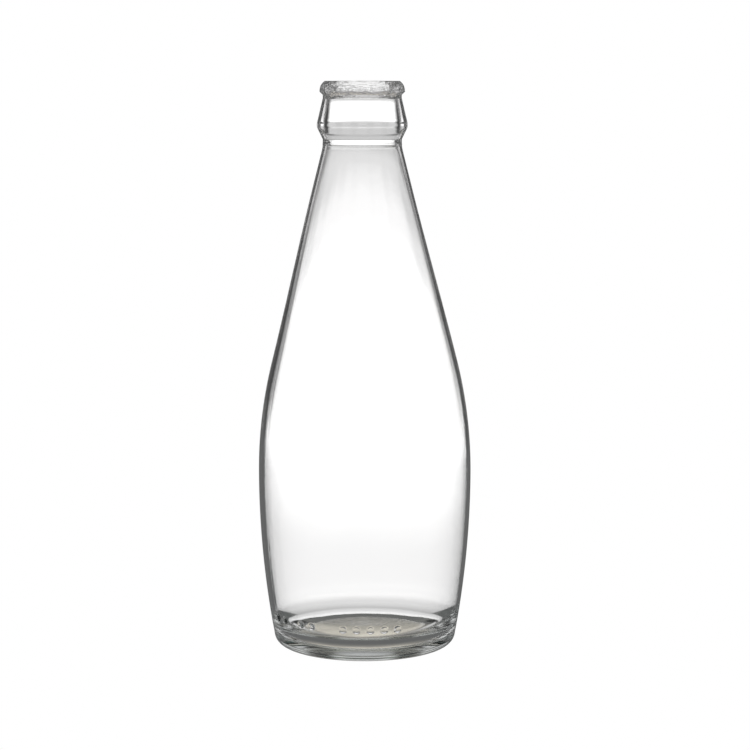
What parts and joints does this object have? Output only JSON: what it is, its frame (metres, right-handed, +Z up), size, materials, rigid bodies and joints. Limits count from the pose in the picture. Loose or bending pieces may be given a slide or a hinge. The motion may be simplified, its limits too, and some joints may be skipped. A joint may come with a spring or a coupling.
{
  "type": "glass soda bottle",
  "caption": "Clear glass soft-drink bottle: conical shoulder, rounded belly, crown-cap mouth, empty and uncapped.",
  "frame": {"origin": "middle of the ring that the bottle stands on", "axes": "+Z up along the bottle's axis, towards the mouth; the sides face X and Y alike"},
  "size_m": [0.0672, 0.0672, 0.1785],
  "materials": {
    "glass": "gloss"
  },
  "bodies": {
    "root": {"glass_bottle": "glass"}
  },
  "joints": []
}
